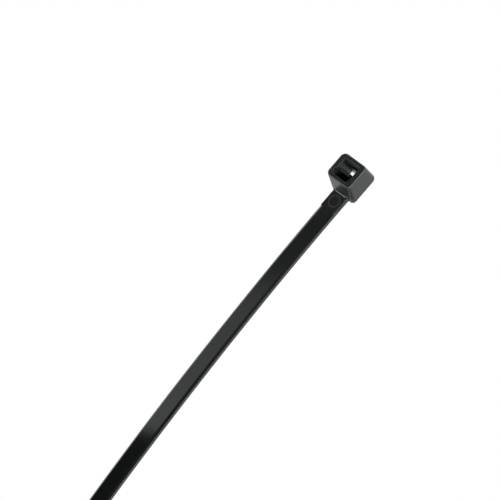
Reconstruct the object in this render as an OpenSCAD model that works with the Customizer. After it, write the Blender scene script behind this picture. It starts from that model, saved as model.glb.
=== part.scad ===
// Cable tie: one moulded nylon piece with its strap, tail, ratchet head and pawl.
// It lies on its toothed inner face, with the head standing up at the +X end.
// Millimetres. The whole tie is one solid, so NODES has one name.

/* [View] */
// Which node to draw, or all of them

/* [Strap] */
// Width of the strap over its two rails
strap_w = 4.7; // [2.5:0.1:9]
// Thickness of the strap
strap_t = 1.28; // [0.9:0.01:2]
// Length from the neck to the tip, along the strap
strap_len = 191.6; // [80:0.1:400]
// Radius of the strap's slight sideways set
bend_r = 960; // [400:10:20000]
// Width of the bevel along each outer edge of the strap
bevel_w = 0.6; // [0.1:0.05:0.9]
// Height of the same bevel
bevel_h = 0.43; // [0.1:0.01:0.6]
// Length beside the neck on which the strap is square and has no bevel
square_len = 5; // [1:0.5:12]

/* [Ratchet teeth] */
// Distance from one tooth to the next
tooth_pitch = 1.2; // [0.8:0.05:2]
// Depth of the notch in front of each tooth
tooth_h = 0.42; // [0.2:0.02:0.7]
// Width of the plain rail on either side of the teeth
rail_w = 0.8; // [0.4:0.05:2]
// Flat left on the crest of each tooth
tooth_land = 0.2; // [0.1:0.05:0.4]
// Smooth length between the neck and the first tooth
smooth_len = 9; // [4:0.5:30]

/* [Tail] */
// Length of the narrowing tail
tail_len = 25; // [12:0.5:50]
// Width of the tail at its rounded tip
tip_w = 2.4; // [1.2:0.1:5]
// Grip ribs on the outer face of the tail
grip_count = 9; // [0:1:14]
// Distance from one grip rib to the next
grip_pitch = 1.6; // [1:0.1:3]
// Width of the groove between two ribs
groove_w = 0.9; // [0.4:0.05:1.5]
// Depth of the same groove
groove_h = 0.25; // [0.1:0.05:0.4]

/* [Head] */
// Height of the head from the inner face
head_h = 6.1; // [4:0.1:9]
// How far the leaning neck face runs back between its foot and the top
neck_run = 1.5; // [0.6:0.05:3]
// How far the foot of the neck face stands out over the strap, past the neck line
foot_back = 0.1; // [0:0.05:0.4]
// Height of the ramp that carries the strap's outer face up to the neck face
ramp_h = 1.25; // [0.6:0.05:3]
// Draft of the end face over the head's height
end_draft = 0.3; // [0:0.05:0.6]
// Radius of the head's corners beside the neck
neck_corner_r = 1.2; // [0.4:0.1:1.6]
// Radius of the head's corners at the far end
end_corner_r = 1.4; // [0.4:0.1:2.2]
// Bevel round the head's top edges
top_bevel = 0.35; // [0.1:0.05:0.5]
// Radius of the fillet between the strap's edge and the head
neck_fillet_r = 0.3; // [0.2:0.1:1.2]

/* [Passage and pawl] */
// Wall between the neck slope and the slot behind the pawl, at the top
neck_wall = 0.93; // [0.6:0.01:1.6]
// Wall on either side of the passage
side_wall = 1.6; // [0.8:0.05:3]
// Wall at the head's far end, at the top
end_wall = 0.95; // [0.6:0.05:1.6]
// Free play of the strap across the passage's width
width_play = 0.4; // [0.1:0.05:0.6]
// Free play of the strap through the passage's depth
depth_play = 0.17; // [0.1:0.01:0.5]
// Thickness of the floor that the pawl is hinged to
floor_t = 1; // [0.6:0.05:1.6]
// How far the far wall opens outwards at the top
flare_run = 1.1; // [0:0.05:1.6]
// Height of that flare
flare_h = 1.45; // [0.5:0.05:2]
// Gap behind the pawl's hinge, which lets the pawl give way
flex_gap = 1.65; // [0.8:0.05:2.4]
// How much narrower that gap is than the passage
gap_narrow = 0.7; // [0.2:0.05:1.2]
// How far the passage keeps its full width behind the pawl's free end
side_gap = 0.15; // [0.05:0.05:0.4]
// How much narrower the pawl is than the toothed band that it bites into
pawl_play = 0.1; // [0:0.05:0.6]
// Thickness of the pawl at its free end
pawl_t = 0.85; // [0.6:0.05:1.4]
// Thickness of the pawl at its hinge
hinge_t = 0.75; // [0.5:0.05:1.2]
// How far the pawl's free end stays below the head's top
pawl_drop = 0.2; // [0:0.05:1]
// Reach of each pawl tooth
pawl_tooth = 0.3; // [0.15:0.05:0.5]
// Width of the pocket on either side of the slot behind the pawl
pocket_w = 0.45; // [0.2:0.05:1]
// Length of the same pocket
pocket_len = 1.3; // [0.6:0.05:2]
// Depth of the same pocket
pocket_h = 0.3; // [0.2:0.05:3]

/* [Moulding mark] */
// Radius of the plain ring beside the neck
ring_r = 1.5; // [0.8:0.1:2]
// Width of the ring's groove
ring_w = 0.14; // [0.1:0.02:0.3]
// Depth of the ring's groove
ring_h = 0.06; // [0.03:0.01:0.15]
// Distance of the ring's centre from the neck
ring_x = 2.4; // [2:0.1:6]

/* [Hidden] */
nylon = [0.02, 0.02, 0.022];
round_fn = 96;
arc_fn = 720;
over = 1;
weld = 0.3;
root_len = 1;

arc_len = strap_len - tail_len;
sweep = arc_len / bend_r * 180 / PI;
root_angle = root_len / bend_r * 180 / PI;
square_angle = square_len / bend_r * 180 / PI;
tail_x = -bend_r * sin(sweep);
tail_y = bend_r * (cos(sweep) - 1);
tip_x = tail_x - tail_len * cos(sweep);
tip_y = tail_y - tail_len * sin(sweep);

// Stations along X, counted from the neck
lean = atan(neck_run / head_h);
foot_x = -foot_back;
top_x = foot_x + neck_run;
ramp_x = foot_x + (strap_t + ramp_h) * tan(lean);
slot_x = top_x + neck_wall;
root_x = slot_x + flex_gap;
hinge_x = root_x + hinge_t;
back_x = hinge_x - pawl_t - side_gap;
wall_x = hinge_x + strap_t + depth_play;
rim_x = wall_x + flare_run;
top_end_x = rim_x + end_wall;
base_end_x = top_end_x + end_draft;

passage_w = strap_w + width_play;
head_w = passage_w + 2 * side_wall;
pawl_top = head_h - pawl_drop;

// The pawl's teeth match the strap's: where the upper one ends, and how far each lower one stands out
bite_drop = 1;
bite_z = pawl_top - bite_drop;
bite_run = 0.1;
bite_rise = 0.1;

band_w = strap_w - 2 * rail_w;
pawl_w = band_w - pawl_play;
tooth_count = floor((arc_len - smooth_len) / tooth_pitch);

// Centre of the box that the whole tie fills, which becomes the origin
box_x = (base_end_x + tip_x - tip_w / 2) / 2;
box_y = (head_w / 2 + tip_y - tip_w / 2) / 2;

// Places its children on the strap's curved centre line, s millimetres from the neck
module along(s) {
  translate([0, -bend_r, 0])
    rotate([0, 0, s / bend_r * 180 / PI])
      translate([0, bend_r, 0])
        children();
}

// A side profile drawn in X and Z, with its middle on the centre line
module across(width) {
  translate([0, width / 2, 0])
    rotate([90, 0, 0])
      linear_extrude(height = width)
        children();
}

// Section of the strap: flat outer face with a bevel along each edge
module strap_section() {
  polygon([
    [-strap_w / 2, 0],
    [strap_w / 2, 0],
    [strap_w / 2, strap_t - bevel_h],
    [strap_w / 2 - bevel_w, strap_t],
    [-strap_w / 2 + bevel_w, strap_t],
    [-strap_w / 2, strap_t - bevel_h]
  ]);
}

// What the two bevels take off the section
module bevel_cuts() {
  for (s = [-1, 1])
    polygon([
      [s * (strap_w / 2 - 2 * bevel_w), strap_t + bevel_h],
      [s * (strap_w / 2 + bevel_w), strap_t - 2 * bevel_h],
      [s * (strap_w / 2 + bevel_w), strap_t + bevel_h]
    ]);
}

// Draws its children along the strap's curve, between two angles from the neck
module swept(from, to) {
  translate([0, -bend_r, 0])
    rotate([0, 0, 90 + from])
      rotate_extrude(angle = to - from, $fn = arc_fn)
        translate([bend_r, 0])
          children();
}

// The curved strap, carried a little way into the head: square beside the neck, then bevelled
module strap_body() {
  difference() {
    swept(-root_angle, sweep)
      translate([-strap_w / 2, 0])
        square([strap_w, strap_t]);
    swept(square_angle, sweep + root_angle)
      bevel_cuts();
  }
}

// One notch: the steep face looks back to the neck, the slope runs to it
module tooth_notch() {
  across(band_w)
    polygon([
      [tooth_land - tooth_pitch, -over],
      [tooth_land - tooth_pitch, tooth_h],
      [0, 0],
      [0, -over]
    ]);
}

module all_notches() {
  for (i = [0 : tooth_count - 1])
    along(smooth_len + i * tooth_pitch)
      tooth_notch();
}

// Outline of the tail from above, with a round tip
module tail_outline() {
  polygon([
    [weld, bevel_w - strap_w / 2],
    [weld, strap_w / 2 - bevel_w],
    [0, strap_w / 2],
    [-tail_len, tip_w / 2],
    [-tail_len, -tip_w / 2],
    [0, -strap_w / 2]
  ]);
  translate([-tail_len, 0])
    circle(r = tip_w / 2, $fn = round_fn);
}

// The tail goes on straight where the strap ends, bevelled and grooved like it
module tail() {
  along(arc_len)
    difference() {
      intersection() {
        linear_extrude(height = strap_t)
          tail_outline();
        translate([-tail_len - tip_w, 0, 0])
          rotate([90, 0, 90])
            linear_extrude(height = tail_len + tip_w + weld)
              strap_section();
      }
      for (i = [0 : grip_count])
        translate([-tail_len + i * grip_pitch, -strap_w, strap_t - groove_h])
          cube([groove_w, 2 * strap_w, over]);
    }
}

// A plate with two rounded corners on the side that looks to -X
module rounded_left(x, r) {
  translate([x + r, -head_w / 2])
    square([2 * head_w, head_w]);
  translate([x, -head_w / 2 + r])
    square([head_w, head_w - 2 * r]);
  for (s = [-1, 1])
    translate([x + r, s * (head_w / 2 - r)])
      circle(r = r, $fn = round_fn);
}

// The head's block: sloped neck face, drafted end face, rounded corners, bevelled top
module head_block() {
  intersection() {
    across(2 * head_w)
      polygon([
        [foot_x, 0],
        [top_x, head_h],
        [top_end_x - top_bevel, head_h],
        [top_end_x, head_h - top_bevel],
        [base_end_x, 0]
      ]);
    // Corners beside the neck follow the sloped face
    translate([foot_x, 0, 0])
      rotate([0, lean, 0])
        translate([0, 0, -2 * head_h])
          linear_extrude(height = 4 * head_h)
            rounded_left(0, neck_corner_r);
    // Corners at the far end stand upright
    translate([0, 0, -over])
      linear_extrude(height = head_h + 2 * over)
        mirror([1, 0])
          rounded_left(-base_end_x, end_corner_r);
    // Bevels along the two sides of the top
    translate([-head_w, 0, 0])
      rotate([90, 0, 90])
        linear_extrude(height = 4 * head_w)
          polygon([
            [-head_w / 2, 0],
            [head_w / 2, 0],
            [head_w / 2, head_h - top_bevel],
            [head_w / 2 - top_bevel, head_h],
            [-head_w / 2 + top_bevel, head_h],
            [-head_w / 2, head_h - top_bevel]
          ]);
  }
}

// Ramp from the strap's outer face up to the neck face
module neck_ramp() {
  across(strap_w)
    polygon([
      [foot_x, bevel_h],
      [foot_x, strap_t],
      [ramp_x, strap_t + ramp_h],
      [ramp_x + weld, strap_t + ramp_h],
      [ramp_x + weld, bevel_h]
    ]);
}

// Fillets that carry the strap's edges into the head
module neck_fillets() {
  for (s = [-1, 1])
    difference() {
      translate([foot_x - neck_fillet_r, s * (strap_w + neck_fillet_r) / 2 - neck_fillet_r / 2, 0])
        cube([neck_fillet_r + weld, neck_fillet_r, strap_t - bevel_h]);
      translate([foot_x - neck_fillet_r, s * (strap_w / 2 + neck_fillet_r), -over])
        cylinder(r = neck_fillet_r, h = strap_t + 2 * over, $fn = round_fn);
    }
}

// The opening through the head, with its floor and far wall
module passage() {
  across(passage_w)
    polygon([
      [back_x, head_h + over],
      [rim_x, head_h + over],
      [rim_x, head_h],
      [wall_x, head_h - flare_h],
      [wall_x, -over],
      [hinge_x, -over],
      [hinge_x, floor_t],
      [back_x + weld, floor_t],
      [back_x, floor_t + weld]
    ]);
  across(passage_w - gap_narrow)
    polygon([
      [slot_x, head_h + over],
      [back_x + weld, head_h + over],
      [back_x + weld, floor_t],
      [slot_x + weld, floor_t],
      [slot_x, floor_t + weld]
    ]);
  translate([slot_x + weld / 2, -passage_w / 2 - pocket_w, head_h - pocket_h])
    cube([pocket_len, passage_w + 2 * pocket_w, pocket_h + over]);
}

// One pawl tooth from its tip down to the notch under it, n teeth below the upper one
function bite(n) = [
  [hinge_x + n * bite_run - pawl_tooth, bite_z - n * tooth_pitch + bite_rise],
  [hinge_x + n * bite_run, bite_z - n * tooth_pitch]
];

// The pawl: free at its top and sides, hinged at the floor, teeth towards the far wall
module pawl() {
  across(pawl_w)
    polygon(concat(
      [
        [root_x, floor_t - weld],
        [root_x, floor_t + weld],
        [hinge_x - pawl_t, pawl_top],
        [hinge_x, pawl_top]
      ],
      bite(0),
      bite(1),
      bite(2),
      [
        [hinge_x, floor_t + weld],
        [hinge_x, floor_t - weld]
      ]
    ));
}

// Plain ring that an ejector pin leaves in the outer face
module ring_mark() {
  along(ring_x)
    translate([0, 0, strap_t - ring_h])
      difference() {
        cylinder(r = ring_r, h = over, $fn = round_fn);
        translate([0, 0, -over])
          cylinder(r = ring_r - ring_w, h = 3 * over, $fn = round_fn);
      }
}

module cable_tie() {
  color(nylon)
    translate([-box_x, -box_y, 0]) {
      difference() {
        union() {
          strap_body();
          tail();
          head_block();
          neck_ramp();
          neck_fillets();
        }
        all_notches();
        passage();
        ring_mark();
      }
      pawl();
    }
}

cable_tie();
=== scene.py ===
"""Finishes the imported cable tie: one glossy black nylon moulding, lying on a white table.

The tie is shaped in millimetres from its neck, the line on the strap's outer face where the ramp to
the head begins. +X runs to the head and +Z up out of the outer face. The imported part's own box then
says where the neck lies in the frame, in metres.
"""

import logging
import math
from collections.abc import Callable, Iterable, Sequence
from dataclasses import dataclass, field
from enum import Enum
from typing import Any

import bmesh
import bpy
from mathutils import Matrix, Vector


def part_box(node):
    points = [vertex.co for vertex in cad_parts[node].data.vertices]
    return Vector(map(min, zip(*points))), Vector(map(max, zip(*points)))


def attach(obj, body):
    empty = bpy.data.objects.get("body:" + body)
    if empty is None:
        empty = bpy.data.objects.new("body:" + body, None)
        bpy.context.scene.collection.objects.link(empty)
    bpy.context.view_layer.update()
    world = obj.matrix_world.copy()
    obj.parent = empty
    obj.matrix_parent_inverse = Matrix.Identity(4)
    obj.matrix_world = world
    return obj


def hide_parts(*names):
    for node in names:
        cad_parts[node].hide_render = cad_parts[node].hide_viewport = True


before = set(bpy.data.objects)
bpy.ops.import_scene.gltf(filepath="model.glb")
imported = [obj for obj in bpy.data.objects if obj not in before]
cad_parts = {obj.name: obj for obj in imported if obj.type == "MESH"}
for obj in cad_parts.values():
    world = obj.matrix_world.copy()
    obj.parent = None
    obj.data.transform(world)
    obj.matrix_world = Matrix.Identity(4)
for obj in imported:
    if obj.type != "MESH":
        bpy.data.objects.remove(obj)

LOG = logging.getLogger("cable_tie")
MM = 0.001
CAD_NODE = "cable_tie"
BODY = "root"

# In millimetres: how far a cutting form stands past the surface that it cuts, how close to a place
# an edge has to be to lie there, and the gap at which two points become one.
OVER = 1.0
NEAR = 1e-3
SEAM = 1e-4

Point = tuple[float, float, float]
Colour = tuple[float, float, float]
Profile = Sequence[tuple[float, float]]
Stops = Sequence[tuple[float, float]]


class Join(Enum):
    """How one closed form meets another."""

    ADD = "UNION"
    CUT = "DIFFERENCE"


class Rounding(Enum):
    """What a rounding takes off: edges of a closed form, or corners of a flat outline."""

    EDGES = "EDGES"
    CORNERS = "VERTICES"


class Form:
    """A closed form, in millimetres from the neck, that bmesh operators shape.

    Attributes:
        mesh: The form's own bmesh.
    """

    def __init__(self) -> None:
        """Starts with an empty mesh."""
        self.mesh = bmesh.new()

    def outline(self, points: Iterable[Point]) -> bmesh.types.BMFace:
        """Fills a flat outline with one face.

        Args:
            points: The outline's corners, in order.

        Returns:
            The new face.
        """
        return self.mesh.faces.new([self.mesh.verts.new(p) for p in points])

    def pushed(self, faces: Sequence[bmesh.types.BMFace]) -> tuple[list[Any], list[Any]]:
        """Extrudes faces in place, so that the caller can move the new ones.

        Args:
            faces: The faces to extrude.

        Returns:
            The new vertices and the new faces that cap them.
        """
        edges = dict.fromkeys(e for f in faces for e in f.edges)
        verts = dict.fromkeys(v for f in faces for v in f.verts)
        made = bmesh.ops.extrude_face_region(self.mesh, geom=[*faces, *edges, *verts])["geom"]
        return (
            [g for g in made if isinstance(g, bmesh.types.BMVert)],
            [g for g in made if isinstance(g, bmesh.types.BMFace)],
        )

    def edges(self, test: Callable[[Vector, Vector], bool]) -> list[bmesh.types.BMEdge]:
        """Picks edges by where their ends are.

        Args:
            test: Says of an edge's two ends whether it is wanted.

        Returns:
            The wanted edges.
        """
        return [e for e in self.mesh.edges if test(e.verts[0].co, e.verts[1].co)]

    def round_off(
        self,
        parts: Iterable[Any],
        radius: float,
        segments: int,
        what: Rounding = Rounding.EDGES,
    ) -> None:
        """Rounds edges or corners off.

        Args:
            parts: The edges, or the corner points, to round.
            radius: How far the rounding reaches from each of them.
            segments: Faces or edges across the rounding.
            what: Whether they are edges or corners.
        """
        bmesh.ops.bevel(
            self.mesh,
            geom=list(parts),
            offset=radius,
            offset_type="OFFSET",
            segments=segments,
            profile=0.5,
            affect=what.value,
            material=-1,
        )

    def mend(self) -> None:
        """Closes seams and turns the faces outwards."""
        bmesh.ops.remove_doubles(self.mesh, verts=self.mesh.verts, dist=SEAM)
        bmesh.ops.dissolve_degenerate(self.mesh, edges=self.mesh.edges, dist=SEAM)
        bmesh.ops.recalc_face_normals(self.mesh, faces=self.mesh.faces)

    def data(self, name: str) -> bpy.types.Mesh:
        """Puts the form into a mesh datablock.

        Args:
            name: The datablock's name.

        Returns:
            The datablock.
        """
        mesh = bpy.data.meshes.new(name)
        self.mesh.to_mesh(mesh)
        return mesh

    def join(self, other: "Form", how: Join) -> None:
        """Adds another closed form to this one, or cuts it away.

        Args:
            other: The form to add or to cut away.
            how: Which of the two.
        """
        pair = [bpy.data.objects.new(n, f.data(n)) for n, f in (("whole", self), ("other", other))]
        for item in pair:
            bpy.context.scene.collection.objects.link(item)
        whole, tool = pair
        modifier = whole.modifiers.new("join", "BOOLEAN")
        modifier.operation = how.value
        modifier.solver = "EXACT"
        modifier.object = tool
        evaluated = whole.evaluated_get(bpy.context.evaluated_depsgraph_get())
        self.mesh.clear()
        self.mesh.from_mesh(evaluated.to_mesh())
        evaluated.to_mesh_clear()
        for item in pair:
            data = item.data
            bpy.data.objects.remove(item)
            bpy.data.meshes.remove(data)

    @classmethod
    def across(cls, outline: Profile, width: float) -> "Form":
        """A side profile, drawn in X and Z, given a width with its middle on the centre line.

        Args:
            outline: The profile's corners.
            width: The width along Y.

        Returns:
            The closed form.
        """
        form = cls()
        face = form.outline((x, -width / 2, z) for x, z in outline)
        verts, _ = form.pushed([face])
        bmesh.ops.translate(form.mesh, verts=verts, vec=(0, width, 0))
        form.mend()
        return form


def arc_drop(distance: float, radius: float) -> float:
    """How far a fillet still stands off its wall, some distance from where it starts.

    Args:
        distance: Distance from the surface that the fillet leaves.
        radius: The fillet's radius.

    Returns:
        The height of the fillet over the wall that it runs into.
    """
    left = max(0.0, radius - max(0.0, distance))
    return radius - math.sqrt(radius * radius - left * left)


def soft_min(a: float, b: float, blend: float) -> float:
    """The smaller of two values, with a smooth change from one to the other.

    Args:
        a: One value.
        b: The other value.
        blend: The difference within which they mix.

    Returns:
        The smoothed smaller value.
    """
    share = min(1.0, max(0.0, 0.5 + 0.5 * (b - a) / blend))
    return b * (1 - share) + a * share - blend * share * (1 - share)


def ease(value: float) -> float:
    """A smooth step from 0 to 1 as value goes from 0 to 1."""
    t = min(1.0, max(0.0, value))
    return t * t * (3 - 2 * t)


def box_profile(near: float, far: float, low: float, high: float) -> Profile:
    """The four corners of an upright rectangle in X and Z.

    Args:
        near: Where it starts along X.
        far: Where it ends along X.
        low: Its lower edge.
        high: Its upper edge.

    Returns:
        The corners, in order.
    """
    return [(near, low), (far, low), (far, high), (near, high)]


def graded(start: float, end: float, fine: float, growth: float) -> list[float]:
    """Places from a start to an end, close together at the start and wider with each step.

    Args:
        start: The first place.
        end: The last place, above or below the first.
        fine: The first step.
        growth: How much longer each step is than the one before it.

    Returns:
        The places, both ends included.
    """
    way = math.copysign(1.0, end - start)
    places = [start]
    step = fine
    while abs(end - places[-1]) > step * growth:
        places.append(places[-1] + way * step)
        step *= growth
    return [*places, end]


@dataclass
class Strap:
    """The flat strap, its teeth and its tail.

    Attributes:
        width: Width over the two rails.
        thickness: Height of the outer face over the inner one.
        length: Length of the curved part, from the neck to the tail.
        bend: Radius of the slight sideways set.
        bevel_run: Width of the bevel along each outer edge.
        bevel_rise: Height of the same bevel.
        square: Length beside the neck on which the strap has no bevel.
        full_bevel: Distance from the neck at which the bevel has its full height.
        bevel_lack: How much lower it is where it starts.
        edge_round: Radius of the section's own corners.
        edge_segments: Edges across each of those corners.
        root: How far the strap is carried into the head.
        steps: Stretches that make up the curved part.
        pitch: Distance between two teeth.
        notch: Depth of the notch in front of each tooth.
        land: Flat left on each tooth's crest.
        crest_break: Small slope that takes the edge off each crest.
        rail: Width of the plain rail beside the teeth.
        smooth: Length between the neck and the first tooth.
        tail: Length of the narrowing tail.
        tip: Width of the tail at its round end.
        tip_turn: Turn from one step of the round end to the next, in degrees.
        grips: Grooves across the tail.
        grip_pitch: Distance between two of them.
        groove: Width of a groove.
        groove_drop: Depth of a groove.
    """

    width: float = 4.7
    thickness: float = 1.28
    length: float = 166.6
    bend: float = 960.0
    bevel_run: float = 0.6
    bevel_rise: float = 0.43
    square: float = 5.0
    full_bevel: float = 40.0
    bevel_lack: float = 0.16
    edge_round: float = 0.03
    edge_segments: int = 3
    root: float = 1.5
    steps: int = 112
    pitch: float = 1.2
    notch: float = 0.42
    land: float = 0.2
    crest_break: float = 0.04
    rail: float = 0.8
    smooth: float = 9.0
    tail: float = 25.0
    tip: float = 2.4
    tip_turn: int = 10
    grips: int = 10
    grip_pitch: float = 1.6
    groove: float = 0.9
    groove_drop: float = 0.25

    @property
    def band(self) -> float:
        """Width of the toothed band."""
        return self.width - 2 * self.rail

    @property
    def teeth(self) -> int:
        """How many notches fit between the smooth length and the tail."""
        return int((self.length - self.smooth) / self.pitch)

    def along(self, distance: float) -> Matrix:
        """Finds a place on the curved centre line.

        Args:
            distance: Distance from the neck, towards the tail.

        Returns:
            The move from the neck to that place.
        """
        centre = Vector((0, -self.bend, 0))
        turn = Matrix.Rotation(distance / self.bend, 4, "Z")
        return Matrix.Translation(centre) @ turn @ Matrix.Translation(-centre)

    def section(self, form: Form) -> bmesh.types.BMFace:
        """Draws the strap's section at the neck.

        Args:
            form: The form to draw it in.

        Returns:
            The section's face.
        """
        half = self.width / 2
        shoulder = self.thickness - self.bevel_rise
        right = [(half, 0.0), (half, shoulder), (half - self.bevel_run, self.thickness)]
        left = [(-y, z) for y, z in reversed(right)]
        face = form.outline((0, y, z) for y, z in right + left)
        form.round_off(face.verts, self.edge_round, self.edge_segments, Rounding.CORNERS)
        form.mesh.faces.ensure_lookup_table()
        return form.mesh.faces[0]

    def ribbon(self) -> Form:
        """Sweeps the section along the strap's curve and draws it out to the tail's round tip.

        Returns:
            The strap without teeth and grips.
        """
        form = Form()
        face = self.section(form)
        form.mesh.transform(self.along(-self.root))
        swept = bmesh.ops.spin(
            form.mesh,
            geom=[face, *face.edges, *face.verts],
            cent=(0, -self.bend, 0),
            axis=(0, 0, 1),
            angle=(self.length + self.root) / self.bend,
            steps=self.steps,
        )
        end = [g for g in swept["geom_last"] if isinstance(g, bmesh.types.BMFace)]
        self.draw_tail(form, end)
        form.mend()
        self.fill_bevels(form)
        return form

    def fill_bevels(self, form: Form) -> None:
        """Raises the bevels' shoulders: beside the neck until the section is square, and less beyond.

        Args:
            form: The strap without teeth.
        """
        mesh = form.mesh
        start = -self.square
        for x in (start, start - self.edge_round):
            geom = [*mesh.verts, *mesh.edges, *mesh.faces]
            bmesh.ops.bisect_plane(mesh, geom=geom, plane_co=(x, 0, 0), plane_no=(1, 0, 0))
        low = self.thickness - self.bevel_rise - self.edge_round
        for v in mesh.verts:
            middle = self.along(-v.co.x).translation.y
            if v.co.z < low or abs(v.co.y - middle) < (self.width - self.bevel_run) / 2:
                continue
            left = (self.full_bevel + v.co.x) / (self.full_bevel - self.square)
            beside_neck = v.co.x > start - self.edge_round / 2
            rise = self.bevel_rise if beside_neck else self.bevel_lack * ease(left)
            v.co.z = min(self.thickness, v.co.z + rise)

    def draw_tail(self, form: Form, end: list[bmesh.types.BMFace]) -> None:
        """Extrudes the strap's end face to the narrow tail and its round tip.

        Args:
            form: The strap so far.
            end: The face that closes it at the tail.
        """
        local = self.along(self.length).inverted()
        radius = self.tip / 2
        turns = [math.radians(a) for a in range(0, 90, self.tip_turn)]
        stations = [(self.tail + radius * math.sin(a), self.tip * math.cos(a)) for a in turns]
        wide = self.width
        reach = 0.0
        for distance, width in stations:
            verts, end = form.pushed(end)
            narrower = Matrix.Scale(width / wide, 4, (0, 1, 0))
            bmesh.ops.transform(form.mesh, matrix=narrower, space=local, verts=verts)
            step = Matrix.Translation((reach - distance, 0, 0))
            bmesh.ops.transform(form.mesh, matrix=step, space=local, verts=verts)
            wide = width
            reach = distance

    def notches(self) -> Form:
        """Makes all the notches between the teeth: the steep face of each looks back to the head.

        Returns:
            The notches to cut away.
        """
        deep = self.land - self.pitch
        brk = self.crest_break
        profile = [
            (deep - brk, -OVER),
            (deep - brk, 0.0),
            (deep, brk),
            (deep, self.notch),
            (-brk, brk / 2),
            (brk, 0.0),
            (brk, -OVER),
        ]
        form = Form.across(profile, self.band)
        form.mesh.transform(self.along(self.smooth))
        mesh = form.mesh
        bmesh.ops.spin(
            mesh,
            geom=[*mesh.verts, *mesh.edges, *mesh.faces],
            cent=(0, -self.bend, 0),
            axis=(0, 0, 1),
            angle=(self.teeth - 1) * self.pitch / self.bend,
            steps=self.teeth - 1,
            use_duplicate=True,
        )
        return form

    def grooves(self) -> Form:
        """Makes the grip grooves across the outer face of the tail.

        Returns:
            The grooves to cut away.
        """
        form = Form()
        floor = self.thickness - self.groove_drop
        slope = self.groove_drop / 2
        for number in range(self.grips):
            start = number * self.grip_pitch - self.tail
            profile = [
                (start - slope, self.thickness + OVER),
                (start, floor),
                (start + self.groove, floor),
                (start + self.groove + slope, self.thickness + OVER),
            ]
            one = Form.across(profile, 2 * self.width)
            one.mesh.transform(self.along(self.length))
            data = one.data("groove")
            form.mesh.from_mesh(data)
            bpy.data.meshes.remove(data)
        return form

    def build(self) -> Form:
        """Makes the whole strap.

        Returns:
            The strap with its teeth and grips.
        """
        form = self.ribbon()
        form.join(self.notches(), Join.CUT)
        form.join(self.grooves(), Join.CUT)
        return form


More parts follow.
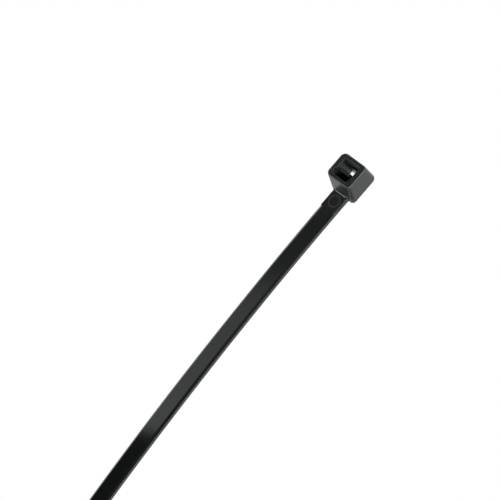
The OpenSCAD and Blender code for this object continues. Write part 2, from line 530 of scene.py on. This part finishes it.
@dataclass
class Head:
    """The ratchet head: its block, the passage for the tail and the hinged pawl.

    Attributes:
        strap: The strap that runs into it.
        height: Height over the inner face.
        side_wall: Wall on either side of the passage.
        neck_run: How far the leaning neck face runs back over the head's height.
        foot_back: How far the foot of the neck face stands out past the neck.
        ramp_rise: Height of the ramp that carries the outer face up to the neck face.
        flank: How steeply the ramp's two flanks run back to the neck face.
        side_fillet: Radius of the fillet beside the strap.
        foot_fillet: Radius of the fillet at the ramp's foot.
        foot_rise: Height of the flatter lip that the ramp starts with.
        foot_spread: How much further the lip runs for each millimetre that it rises.
        blend: How softly ramp and neck face run together.
        neck_wall: Wall between the neck face and the slot, at the top.
        end_wall: Wall at the far end, at the top.
        end_draft: Draft of the end face.
        neck_corner: Radius of the upright corners beside the neck.
        end_corner: Radius of the upright corners at the far end.
        top_round: Rounding of the top's outer edges.
        foot_round: Rounding of the edges that the head stands on.
        rim_round: Rounding of the passage's rims and of the pawl's top.
        neck_segments: Faces across a corner beside the neck.
        end_segments: Faces across a corner at the far end.
        top_segments: Faces across the rounding of the top.
        foot_segments: Faces across the rounding of the foot.
        rim_segments: Faces across the rounding of a rim.
        rim_turn: Turn above which an edge of the passage's mouth is rounded, in degrees.
        width_play: Free play across the passage.
        depth_play: Free play through the passage.
        floor: Thickness of the floor that the pawl is hinged to.
        flare_run: How far the far wall opens outwards at the top.
        flare_rise: Height of that flare.
        flex_gap: Gap behind the pawl's hinge.
        gap_narrow: How much narrower that gap is than the passage.
        side_gap: How far the passage's full width goes on behind the pawl's free end.
        hinge: Thickness of the pawl at its hinge.
        pawl_thick: Thickness of the pawl at its free end.
        pawl_play: How much narrower the pawl is than the toothed band.
        pawl_drop: How far the pawl stays below the top.
        pawl_sink: How far the pawl's foot is set into the floor.
        pawl_clear: How far its foot stays behind its front, so that no two faces lie in one plane.
        bite_drop: Distance from the pawl's top to the notch under its upper tooth.
        bite_reach: Reach of each pawl tooth.
        bite_step: How far each lower tooth stands out and its tip rises.
        pocket_width: Width of the pockets beside the slot.
        pocket_length: Length of the same pockets.
        pocket_drop: Depth of the same pockets.
        fine: Smallest step of the neck side's grid.
        growth: How much wider each step is than the one before it.
    """

    strap: Strap = field(default_factory=Strap)
    height: float = 6.1
    side_wall: float = 1.6
    neck_run: float = 1.5
    foot_back: float = 0.1
    ramp_rise: float = 1.25
    flank: float = 0.7
    side_fillet: float = 0.3
    foot_fillet: float = 0.05
    foot_rise: float = 0.35
    foot_spread: float = 0.5
    blend: float = 0.35
    neck_wall: float = 0.93
    end_wall: float = 0.95
    end_draft: float = 0.3
    neck_corner: float = 1.2
    end_corner: float = 1.4
    top_round: float = 0.5
    foot_round: float = 0.12
    rim_round: float = 0.14
    neck_segments: int = 8
    end_segments: int = 10
    top_segments: int = 5
    foot_segments: int = 2
    rim_segments: int = 3
    rim_turn: float = 30.0
    width_play: float = 0.4
    depth_play: float = 0.17
    floor: float = 1.0
    flare_run: float = 1.1
    flare_rise: float = 1.45
    flex_gap: float = 1.65
    gap_narrow: float = 0.7
    side_gap: float = 0.15
    hinge: float = 0.75
    pawl_thick: float = 0.85
    pawl_play: float = 0.1
    pawl_drop: float = 0.2
    pawl_sink: float = 0.3
    pawl_clear: float = 0.01
    bite_drop: float = 1.0
    bite_reach: float = 0.3
    bite_step: float = 0.1
    pocket_width: float = 0.45
    pocket_length: float = 1.3
    pocket_drop: float = 0.3
    fine: float = 0.03
    growth: float = 1.25

    def __post_init__(self) -> None:
        """Works out the stations along X from the sizes."""
        self.tilt = self.neck_run / self.height
        self.foot_x = -self.foot_back
        self.ramp_x = self.foot_x + (self.strap.thickness + self.ramp_rise) * self.tilt
        self.slot_x = self.foot_x + self.neck_run + self.neck_wall
        self.root_x = self.slot_x + self.flex_gap
        self.hinge_x = self.root_x + self.hinge
        self.wall_x = self.hinge_x + self.strap.thickness + self.depth_play
        self.rim_x = self.wall_x + self.flare_run
        self.top_end_x = self.rim_x + self.end_wall
        self.base_end_x = self.top_end_x + self.end_draft
        self.passage = self.strap.width + self.width_play
        self.width = self.passage + 2 * self.side_wall

    def neck_face(self, y: float, z: float) -> float:
        """Where the neck side of the head lies: a leaning face that flows into ramp, lip and fillets.

        Args:
            y: Place across the head.
            z: Height over the inner face.

        Returns:
            The surface's X.
        """
        s = self.strap
        aside = abs(y) - s.width / 2
        above = z - s.thickness
        off_strap = max(0.0, aside, above)
        beyond_flat = max(0.0, aside + s.bevel_run)
        face = self.foot_x + z * self.tilt
        steep = (self.ramp_x - self.foot_x) / self.ramp_rise
        lip = max(0.0, self.foot_rise - max(0.0, above)) * self.foot_spread
        ramp = self.foot_x + max(0.0, above) * steep - lip + beyond_flat * self.flank
        edge_share = ease((aside + s.bevel_run) / s.bevel_run)
        fillet = self.foot_fillet + (self.side_fillet - self.foot_fillet) * edge_share
        return soft_min(face, ramp, self.blend) - arc_drop(off_strap, fillet)

    def cells(self) -> tuple[list[float], list[float]]:
        """Where the neck side's grid lines lie: close together at the strap, wider apart beyond.

        Returns:
            The places on one half across the head, from the middle out, and the heights, from below.
        """
        s = self.strap
        half = s.width / 2
        across = {
            *graded(half, 0.0, self.fine, self.growth),
            *graded(half, self.width / 2 - self.neck_corner, self.fine, self.growth),
            self.width / 2,
        }
        up = {
            *graded(s.thickness, 0.0, self.fine, self.growth),
            *graded(s.thickness, self.height - self.top_round, self.fine, self.growth),
            self.height,
        }
        return sorted(across), sorted(up)

    def block(self) -> Form:
        """Bends a grid to the neck side and draws it out to the far end.

        Returns:
            The head's block, without its passage.
        """
        across, up = self.cells()
        half, tall = len(across) - 1, len(up) - 1
        form = Form()
        bmesh.ops.create_grid(form.mesh, x_segments=2 * half, y_segments=tall, size=1.0)
        for v in form.mesh.verts:
            column = round(v.co.x * half)
            y = math.copysign(across[abs(column)], column)
            z = up[round((v.co.y + 1) / 2 * tall)]
            v.co = (self.neck_face(y, z), y, z)
        verts, _ = form.pushed(list(form.mesh.faces))
        for v in verts:
            v.co.x = self.base_end_x - v.co.z / self.height * self.end_draft
        form.mend()
        self.merge_plain_walls(form)
        self.round_block(form)
        return form

    @staticmethod
    def merge_plain_walls(form: Form) -> None:
        """Makes one face of each plain wall of the block: sides, end, top and bottom.

        Args:
            form: The block.
        """
        # In radians, and as a share of the normal.
        flat_turn = 1e-3
        lean = 0.01
        edges = [
            e
            for e in form.mesh.edges
            if e.calc_face_angle(math.pi) < flat_turn
            and all(abs(f.normal.x) < lean or f.normal.x > 1 - lean for f in e.link_faces)
        ]
        bmesh.ops.dissolve_edges(form.mesh, edges=edges, use_verts=False)
        pairs = [v for v in form.mesh.verts if len(v.link_edges) == 2]
        lone = [v for v in pairs if v.calc_edge_angle(math.pi) < flat_turn]
        bmesh.ops.dissolve_verts(form.mesh, verts=lone)

    def uprights(self, form: Form) -> list[bmesh.types.BMEdge]:
        """Picks the upright edges at the corners of the block.

        Args:
            form: The block.

        Returns:
            The upright edges.
        """
        side = self.width / 2 - NEAR
        return form.edges(
            lambda a, b: min(abs(a.y), abs(b.y)) > side and a.y * b.y > 0 and abs(a.z - b.z) > NEAR
        )

    def round_block(self, form: Form) -> None:
        """Rounds the block's upright corners, then the edges of its top and of its foot.

        Args:
            form: The block.
        """
        ends = [e for e in self.uprights(form) if min(v.co.x for v in e.verts) > self.top_end_x - NEAR]
        form.round_off(ends, self.end_corner, self.end_segments)
        necks = [e for e in self.uprights(form) if max(v.co.x for v in e.verts) < self.slot_x]
        form.round_off(necks, self.neck_corner, self.neck_segments)
        top = form.edges(lambda a, b: min(a.z, b.z) > self.height - NEAR)
        form.round_off(top, self.top_round, self.top_segments)
        foot = form.edges(lambda a, b: max(a.z, b.z) < NEAR and min(a.x, b.x) > self.ramp_x - NEAR)
        form.round_off(foot, self.foot_round, self.foot_segments)

    def passage_form(self) -> Form:
        """Makes the opening through the head, with the gap behind the pawl and the two pockets.

        Returns:
            The opening to cut away.
        """
        back = self.hinge_x - self.pawl_thick - self.side_gap
        profile = [
            (back, self.height + OVER),
            (self.rim_x, self.height + OVER),
            (self.rim_x, self.height),
            (self.wall_x, self.height - self.flare_rise),
            (self.wall_x, -OVER),
            (self.hinge_x, -OVER),
            (self.hinge_x, self.floor),
            (back, self.floor),
        ]
        form = Form.across(profile, self.passage)
        gap = box_profile(self.slot_x, self.hinge_x, self.floor, self.height + OVER)
        form.join(Form.across(gap, self.passage - self.gap_narrow), Join.ADD)
        start = self.slot_x + self.rim_round
        low = self.height - self.pocket_drop
        pocket = box_profile(start, start + self.pocket_length, low, self.height + OVER / 2)
        form.join(Form.across(pocket, self.passage + 2 * self.pocket_width), Join.ADD)
        return form

    def bite(self, number: int) -> Profile:
        """One pawl tooth: its tip, and the notch under it.

        Args:
            number: Teeth above this one.

        Returns:
            The two corners of its profile.
        """
        out = self.hinge_x + number * self.bite_step
        low = self.height - self.pawl_drop - self.bite_drop - number * self.strap.pitch
        return [(out - self.bite_reach, low + self.bite_step), (out, low)]

    def pawl(self) -> Form:
        """Makes the pawl, free at its top and sides, with its teeth towards the far wall.

        Returns:
            The pawl, down to its foot in the floor.
        """
        top = self.height - self.pawl_drop
        low, high = self.floor - self.pawl_sink, self.floor + self.pawl_sink
        foot_x = self.hinge_x - self.pawl_clear
        profile = [
            (self.root_x, low),
            (self.root_x, high),
            (self.hinge_x - self.pawl_thick, top),
            (self.hinge_x, top),
            *self.bite(0),
            *self.bite(1),
            *self.bite(2),
            (foot_x, high),
            (foot_x, low),
        ]
        form = Form.across(profile, self.strap.band - self.pawl_play)
        crown = form.edges(lambda a, b: min(a.z, b.z) > top - NEAR)
        form.round_off(crown, self.rim_round, self.rim_segments)
        return form

    def build(self) -> Form:
        """Makes the whole head.

        Returns:
            The head with its passage and pawl.
        """
        form = self.block()
        form.join(self.passage_form(), Join.CUT)
        reach = self.width / 2 - self.side_wall / 2
        turn = math.radians(self.rim_turn)
        top = form.edges(
            lambda a, b: min(a.z, b.z) > self.height - NEAR and max(abs(a.y), abs(b.y)) < reach
        )
        rims = [e for e in top if e.calc_face_angle(0.0) > turn]
        form.round_off(rims, self.rim_round, self.rim_segments)
        form.join(self.pawl(), Join.ADD)
        return form


@dataclass
class RingMark:
    """The plain ring that an ejector pin leaves beside the neck.

    Attributes:
        radius: Radius of the ring's groove.
        width: Width of the groove, and of the worn skin on either side of its middle.
        drop: Depth of the groove.
        place: Distance of the ring's centre from the neck.
        steps: Stretches that make up the ring.
    """

    radius: float = 1.5
    width: float = 0.3
    drop: float = 0.02
    place: float = 2.4
    steps: int = 64

    def build(self, strap: Strap) -> Form:
        """Spins the groove's section round the pin's centre.

        Args:
            strap: The strap that the pin leaves its mark in.

        Returns:
            The ring to cut away.
        """
        form = Form()
        top = strap.thickness
        face = form.outline(
            [
                (self.radius - self.width, 0, top + self.drop),
                (self.radius, 0, top - self.drop),
                (self.radius + self.width, 0, top + self.drop),
            ]
        )
        bmesh.ops.spin(
            form.mesh,
            geom=[face, *face.edges, *face.verts],
            cent=(0, 0, 0),
            axis=(0, 0, 1),
            angle=2 * math.pi,
            steps=self.steps,
            use_merge=True,
        )
        sections = [f for f in form.mesh.faces if len(f.verts) == 3]
        bmesh.ops.delete(form.mesh, geom=sections, context="FACES_ONLY")
        form.mend()
        form.mesh.transform(strap.along(self.place))
        return form


class Value:
    """A shader socket that takes part in Python expressions.

    Attributes:
        shader: The shader that the socket belongs to.
        socket: The socket itself.
    """

    def __init__(self, shader: "Shader", socket: bpy.types.NodeSocket) -> None:
        """Wraps one output socket."""
        self.shader = shader
        self.socket = socket

    def _math(self, operation: str, first: Any, second: Any) -> "Value":
        """Adds one Math node and gives its result."""
        return self.shader.node("ShaderNodeMath", {"operation": operation}, {0: first, 1: second})

    def __add__(self, other: Any) -> "Value":
        """Value plus other."""
        return self._math("ADD", self, other)

    def __radd__(self, other: Any) -> "Value":
        """Other plus value."""
        return self._math("ADD", other, self)

    def __sub__(self, other: Any) -> "Value":
        """Value minus other."""
        return self._math("SUBTRACT", self, other)

    def __rsub__(self, other: Any) -> "Value":
        """Other minus value."""
        return self._math("SUBTRACT", other, self)

    def __mul__(self, other: Any) -> "Value":
        """Value times other."""
        return self._math("MULTIPLY", self, other)

    def __rmul__(self, other: Any) -> "Value":
        """Other times value."""
        return self._math("MULTIPLY", other, self)

    def __truediv__(self, other: Any) -> "Value":
        """Value over other."""
        return self._math("DIVIDE", self, other)

    def __rtruediv__(self, other: Any) -> "Value":
        """Other over value."""
        return self._math("DIVIDE", other, self)


class Shader:
    """Builds one node tree from Python calls.

    Attributes:
        tree: The node tree.
    """

    def __init__(self, tree: bpy.types.NodeTree) -> None:
        """Empties a node tree to build in it."""
        self.tree = tree
        tree.nodes.clear()

    def node(
        self,
        kind: str,
        settings: dict[str, Any] | None = None,
        inputs: dict[Any, Any] | None = None,
        output: int | str = 0,
    ) -> Value:
        """Adds a node, sets it and feeds it.

        Args:
            kind: The node's type.
            settings: Its properties.
            inputs: A constant or a Value for each socket, by number or name.
            output: Which output to give back.

        Returns:
            The chosen output.
        """
        made = self.tree.nodes.new(kind)
        for name, setting in (settings or {}).items():
            setattr(made, name, setting)
        for name, value in (inputs or {}).items():
            self.feed(made.inputs[name], value)
        return Value(self, made.outputs[output]) if made.outputs else Value(self, None)

    def feed(self, socket: bpy.types.NodeSocket, value: Any) -> None:
        """Feeds one input socket.

        Args:
            socket: The socket.
            value: A Value to link to it, or a constant to set on it.
        """
        if isinstance(value, Value):
            self.tree.links.new(value.socket, socket)
        else:
            socket.default_value = value

    def axes(self, vector: Value) -> list[Value]:
        """The X, Y and Z of a vector."""
        return [self.node("ShaderNodeSeparateXYZ", {}, {0: vector}, output=axis) for axis in range(3)]

    def ramp(self, value: Value, stops: Stops) -> Value:
        """A level that follows a value along straight lines, and stays level beyond the outer stops.

        Args:
            value: The value to follow.
            stops: The value and the level at each stop, from low to high.

        Returns:
            The level.
        """
        low, high = stops[0][0], stops[-1][0]
        peak = max(level for _, level in stops)
        made = self.node("ShaderNodeValToRGB", {}, {0: (value - low) / (high - low)})
        ramp = made.socket.node.color_ramp
        while len(ramp.elements) < len(stops):
            ramp.elements.new(1.0)
        for element, (at, level) in zip(ramp.elements, stops):
            grey = level / peak
            element.position = (at - low) / (high - low)
            element.color = (grey, grey, grey, 1.0)
        return made * peak

    def distance(self, where: Value, centre: Sequence[float]) -> Value:
        """How far a place lies from a fixed point.

        Args:
            where: The place.
            centre: The point.

        Returns:
            The distance.
        """
        inputs = {0: where, 1: centre}
        return self.node("ShaderNodeVectorMath", {"operation": "DISTANCE"}, inputs, output=1)

    def blend(self, share: Value, first: Any, second: Any) -> Value:
        """Mixes two colours.

        Args:
            share: The second colour's share.
            first: The first colour, a constant or a Value.
            second: The second colour, likewise.

        Returns:
            The mixed colour.
        """
        inputs = {0: share, 6: first, 7: second}
        return self.node("ShaderNodeMix", {"data_type": "RGBA"}, inputs, output=2)


@dataclass(frozen=True)
class Nylon:
    """Black nylon as it leaves the mould: polished on the strap, satin on the head.

    Attributes:
        name: The material's name.
        base: Its colour under the gloss.
        frosted: Its colour under the head's satin.
        scuff: Its colour in the pin's ring.
        tint: The faint cool cast of its reflections.
        mottle: How far the colour varies.
        gloss: Roughness of the polished strap.
        satin: Roughness of the head.
        haze: Roughness that the mottling adds.
        witness: Roughness that the pin's ring adds.
        ior: Refractive index.
        cloud: Size of the mottling, in millimetres.
        cloud_detail: Octaves of finer mottling.
        grain: Size of the faint unevenness of the skin, in millimetres.
        grain_detail: Octaves of finer unevenness.
        grain_rise: Height of the same unevenness, in millimetres.
        blend: Length over which the strap's gloss gives way to satin, in millimetres.
    """

    name: str = "black_nylon"
    base: Colour = (0.0054, 0.0058, 0.0057)
    frosted: Colour = (0.0098, 0.0105, 0.0103)
    scuff: Colour = (0.03, 0.034, 0.033)
    tint: Colour = (0.9, 1.0, 0.97)
    mottle: float = 0.15
    gloss: float = 0.035
    satin: float = 0.38
    haze: float = 0.02
    witness: float = 0.3
    ior: float = 1.53
    cloud: float = 3.0
    cloud_detail: float = 3.0
    grain: float = 1.2
    grain_detail: float = 1.0
    grain_rise: float = 0.0003
    blend: float = 0.3

    @staticmethod
    def noise(shader: Shader, where: Value, size: float, detail: float) -> Value:
        """Noise with features of a real size.

        Args:
            shader: The shader to build in.
            where: Object coordinates, in metres.
            size: Size of the features, in millimetres.
            detail: Octaves of finer noise.

        Returns:
            The noise's level.
        """
        inputs = {"Vector": where, "Scale": 1 / (size * MM), "Detail": detail}
        return shader.node("ShaderNodeTexNoise", {}, inputs)

    @staticmethod
    def ring_share(shader: Shader, where: Value, ring: RingMark, centre: Vector) -> Value:
        """How far a place lies in the skin of the pin's ring.

        Args:
            shader: The shader to build in.
            where: Object coordinates, in metres.
            ring: The ring.
            centre: The ring's centre, in metres.

        Returns:
            The share, from 0 beside the ring to 1 on it.
        """
        radius, reach = ring.radius * MM, ring.width * MM
        stops = [(radius - reach, 0.0), (radius, 1.0), (radius + reach, 0.0)]
        return shader.ramp(shader.distance(where, centre), stops)

    def build(self, neck: float, ring: RingMark, centre: Vector) -> bpy.types.Material:
        """Makes the material.

        Args:
            neck: Where the strap ends and the head begins, along X in metres.
            ring: The pin's ring.
            centre: The ring's centre, in metres.

        Returns:
            The material.
        """
        material = bpy.data.materials.new(self.name)
        material.use_nodes = True
        shader = Shader(material.node_tree)
        where = shader.node("ShaderNodeTexCoord", output="Object")
        cloud = self.noise(shader, where, self.cloud, self.cloud_detail)
        grain = self.noise(shader, where, self.grain, self.grain_detail)
        dark, light = (
            tuple(c * share for c in self.base) + (1.0,) for share in (1 - self.mottle, 1 + self.mottle)
        )
        head = shader.ramp(shader.axes(where)[0], [(neck, 0.0), (neck + self.blend * MM, 1.0)])
        mark = self.ring_share(shader, where, ring, centre)
        mottled = shader.blend(cloud, dark, light)
        satin = shader.blend(head, mottled, (*self.frosted, 1.0))
        finish = self.gloss + (self.satin - self.gloss) * head
        bump = {"Strength": 1.0, "Distance": self.grain_rise * MM, "Height": grain}
        surface = {
            "Base Color": shader.blend(mark, satin, (*self.scuff, 1.0)),
            "Roughness": finish + self.haze * cloud + self.witness * mark,
            "IOR": self.ior,
            "Specular Tint": (*self.tint, 1.0),
            "Normal": shader.node("ShaderNodeBump", {}, bump),
        }
        body = shader.node("ShaderNodeBsdfPrincipled", {}, surface)
        shader.node("ShaderNodeOutputMaterial", {}, {"Surface": body})
        return material


@dataclass
class CableTie:
    """The whole moulding: strap, head and marks as one closed piece.

    Attributes:
        strap: The strap and its tail.
        head: The head and its pawl.
        ring: The ejector pin's ring.
        finish: The nylon.
        crease: Angle above which an edge is shaded sharp.
    """

    strap: Strap = field(default_factory=Strap)
    head: Head = field(default_factory=Head)
    ring: RingMark = field(default_factory=RingMark)
    finish: Nylon = field(default_factory=Nylon)
    crease: float = 35.0

    def place(self) -> Matrix:
        """Leads from millimetres at the neck to the frame's metres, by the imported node's box.

        Returns:
            The scaling and the move.
        """
        _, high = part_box(CAD_NODE)
        neck = Vector((high.x - self.head.base_end_x * MM, high.y - self.head.width / 2 * MM, 0))
        return Matrix.Translation(neck) @ Matrix.Scale(MM, 4)

    def build(self) -> bpy.types.Object:
        """Joins the forms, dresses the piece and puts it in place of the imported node.

        Returns:
            The piece.
        """
        place = self.place()
        form = self.strap.build()
        form.join(self.head.build(), Join.ADD)
        form.join(self.ring.build(self.strap), Join.CUT)
        form.mend()
        form.mesh.transform(place)
        mesh = form.data("moulding")
        mesh.shade_smooth()
        mesh.set_sharp_from_angle(angle=math.radians(self.crease))
        pin = place @ self.strap.along(self.ring.place) @ Vector((0, 0, self.strap.thickness))
        mesh.materials.append(self.finish.build(place.translation.x, self.ring, pin))
        piece = bpy.data.objects.new("nylon_tie", mesh)
        bpy.context.scene.collection.objects.link(piece)
        normals = piece.modifiers.new("flat_faces", "WEIGHTED_NORMAL")
        normals.keep_sharp = True
        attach(piece, BODY)
        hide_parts(CAD_NODE)
        return piece


@dataclass(frozen=True)
class RoomLight:
    """The room's light by direction: stops of a height or slope, and the level at each.

    A direction's slopes are its run along X and along Y for each metre of rise.

    Attributes:
        horizon: The pale horizon, by height.
        horizon_reach: Its share, brighter towards the tail.
        softbox: The softbox behind, by distance past its slanting edge.
        softbox_skew: How far that edge slants.
        softbox_edge: Where the edge lies.
        softbox_reach: The softbox's share, by its slope along Y.
        strip: The low strip in front, by height.
        strip_reach: Its share, by direction towards -Y.
        overhead: The faint glow overhead, by its slope along X.
        overhead_reach: The glow's share, by its slope along Y.
    """

    horizon: Stops = ((0.0, 1.7), (0.25, 1.5), (0.5, 0.2), (0.7, 0.03), (1.0, 0.02))
    horizon_reach: Stops = ((0.5, 1.0), (0.75, 1.5))
    softbox: Stops = (
        (0.0, 0.0),
        (0.004, 1.18),
        (0.015, 1.14),
        (0.04, 0.96),
        (0.075, 0.86),
        (0.1, 0.75),
        (0.115, 0.55),
        (0.13, 0.2),
        (0.165, 0.16),
        (0.2, 0.3),
        (0.3, 0.3),
        (0.4, 0.0),
    )
    softbox_skew: float = 0.345
    softbox_edge: float = 0.1725
    softbox_reach: Stops = ((0.3, 0.0), (0.4, 1.0), (1.0, 1.0), (1.3, 0.0))
    strip: Stops = ((0.0, 1.0), (0.1, 5.0), (0.55, 5.0), (0.68, 0.0))
    strip_reach: Stops = ((0.5, 0.0), (0.6, 1.0))
    overhead: Stops = ((0.06, 0.0), (0.1, 0.25), (0.3, 0.3), (0.5, 0.0))
    overhead_reach: Stops = ((-0.9, 0.0), (-0.7, 1.0), (-0.35, 1.0), (-0.15, 0.0))

    def level(self, shader: Shader) -> Value:
        """Adds up the lights.

        Args:
            shader: The world's shader.

        Returns:
            The light's level in each direction.
        """
        x, y, z = shader.axes(shader.node("ShaderNodeTexCoord", output="Generated"))
        slope_x, slope_y = x / z, y / z
        horizon = shader.ramp(z, self.horizon) * shader.ramp(0 - x, self.horizon_reach)
        inside = slope_x + self.softbox_skew * slope_y - self.softbox_edge
        softbox = shader.ramp(inside, self.softbox) * shader.ramp(slope_y, self.softbox_reach)
        strip = shader.ramp(0 - y, self.strip_reach) * shader.ramp(z, self.strip)
        glow = shader.ramp(slope_x, self.overhead) * shader.ramp(slope_y, self.overhead_reach)
        return horizon + softbox + strip + glow


@dataclass
class Studio:
    """The white table, the room and the camera of the photograph.

    Attributes:
        light: The room's light.
        aim: The point of the table in the middle of the picture, in metres.
        heading: The camera's azimuth, in degrees.
        elevation: Its elevation, in degrees.
        roll: How far it is turned about its own axis, in degrees.
        distance: Distance from the point that it looks at.
        focal: Focal length, in millimetres.
        sensor: Width of the sensor, in millimetres.
        clip: Nearest distance that the camera sees.
        table: Side of the table.
        white: Brightness of the table, and of what the camera sees behind it.
        nook: The point of the table where the head shades it most, beside the neck.
        shade: The table's level by distance from that point, in what the gloss mirrors of it.
    """

    light: RoomLight = field(default_factory=RoomLight)
    aim: Point = (0.06718, 0.01822, 0.0)
    heading: float = -5.2017
    elevation: float = 54.6725
    roll: float = -44.9726
    distance: float = 0.4946
    focal: float = 145.23
    sensor: float = 36.0
    clip: float = 0.01
    table: float = 6.0
    white: float = 1.0
    nook: Point = (0.0888, 0.0021, 0.0)
    shade: Stops = ((0.0016, 0.0), (0.0034, 1.0))

    def camera(self) -> None:
        """Sets the camera up at the photograph's viewing angle."""
        data = bpy.data.cameras.new("camera")
        data.lens = self.focal
        data.sensor_width = self.sensor
        data.clip_start = self.clip
        camera = bpy.data.objects.new("camera", data)
        bpy.context.scene.collection.objects.link(camera)
        turn = Matrix.Rotation(math.radians(self.heading), 4, "Z")
        tip = Matrix.Rotation(math.radians(90 - self.elevation), 4, "X")
        roll = Matrix.Rotation(math.radians(self.roll), 4, "Z")
        back = Matrix.Translation((0, 0, self.distance))
        camera.matrix_world = Matrix.Translation(self.aim) @ turn @ tip @ back @ roll
        bpy.context.scene.camera = camera

    def floor(self) -> None:
        """Lays the white table under the tie. Only the tie's gloss sees the head's shade on it."""
        form = Form()
        bmesh.ops.create_grid(form.mesh, x_segments=1, y_segments=1, size=self.table / 2)
        mesh = form.data("table")
        material = bpy.data.materials.new("white_table")
        material.use_nodes = True
        shader = Shader(material.node_tree)
        where = shader.node("ShaderNodeTexCoord", output="Object")
        seen = shader.node("ShaderNodeLightPath", output="Is Camera Ray")
        clear = seen + (1 - seen) * shader.ramp(shader.distance(where, self.nook), self.shade)
        dark = shader.node("ShaderNodeEmission", {}, {"Strength": 0.0})
        plain = shader.node("ShaderNodeEmission", {}, {"Strength": self.white})
        both = shader.node("ShaderNodeMixShader", {}, {0: clear, 1: dark, 2: plain})
        shader.node("ShaderNodeOutputMaterial", {}, {"Surface": both})
        mesh.materials.append(material)
        table = bpy.data.objects.new("table", mesh)
        bpy.context.scene.collection.objects.link(table)

    def world(self) -> None:
        """Lights the room, and shows the camera plain white behind the table."""
        world = bpy.data.worlds.new("room")
        world.use_nodes = True
        bpy.context.scene.world = world
        shader = Shader(world.node_tree)
        seen = shader.node("ShaderNodeLightPath", output="Is Camera Ray")
        plain = shader.node("ShaderNodeBackground", {}, {"Strength": self.white})
        lit = shader.node("ShaderNodeBackground", {}, {"Color": self.light.level(shader)})
        both = shader.node("ShaderNodeMixShader", {}, {0: seen, 1: lit, 2: plain})
        shader.node("ShaderNodeOutputWorld", {}, {"Surface": both})

    def build(self) -> None:
        """Sets up camera, table and room."""
        self.camera()
        self.floor()
        self.world()
        bpy.context.scene.view_settings.view_transform = "Standard"


def main() -> None:
    """Builds the studio and the tie, and logs how many faces the piece has."""
    logging.basicConfig(level=logging.INFO, format="%(message)s")
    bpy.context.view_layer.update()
    Studio().build()
    piece = CableTie().build()
    LOG.info("%s: %d faces", piece.name, len(piece.data.polygons))


if __name__ == "__main__":
    main()
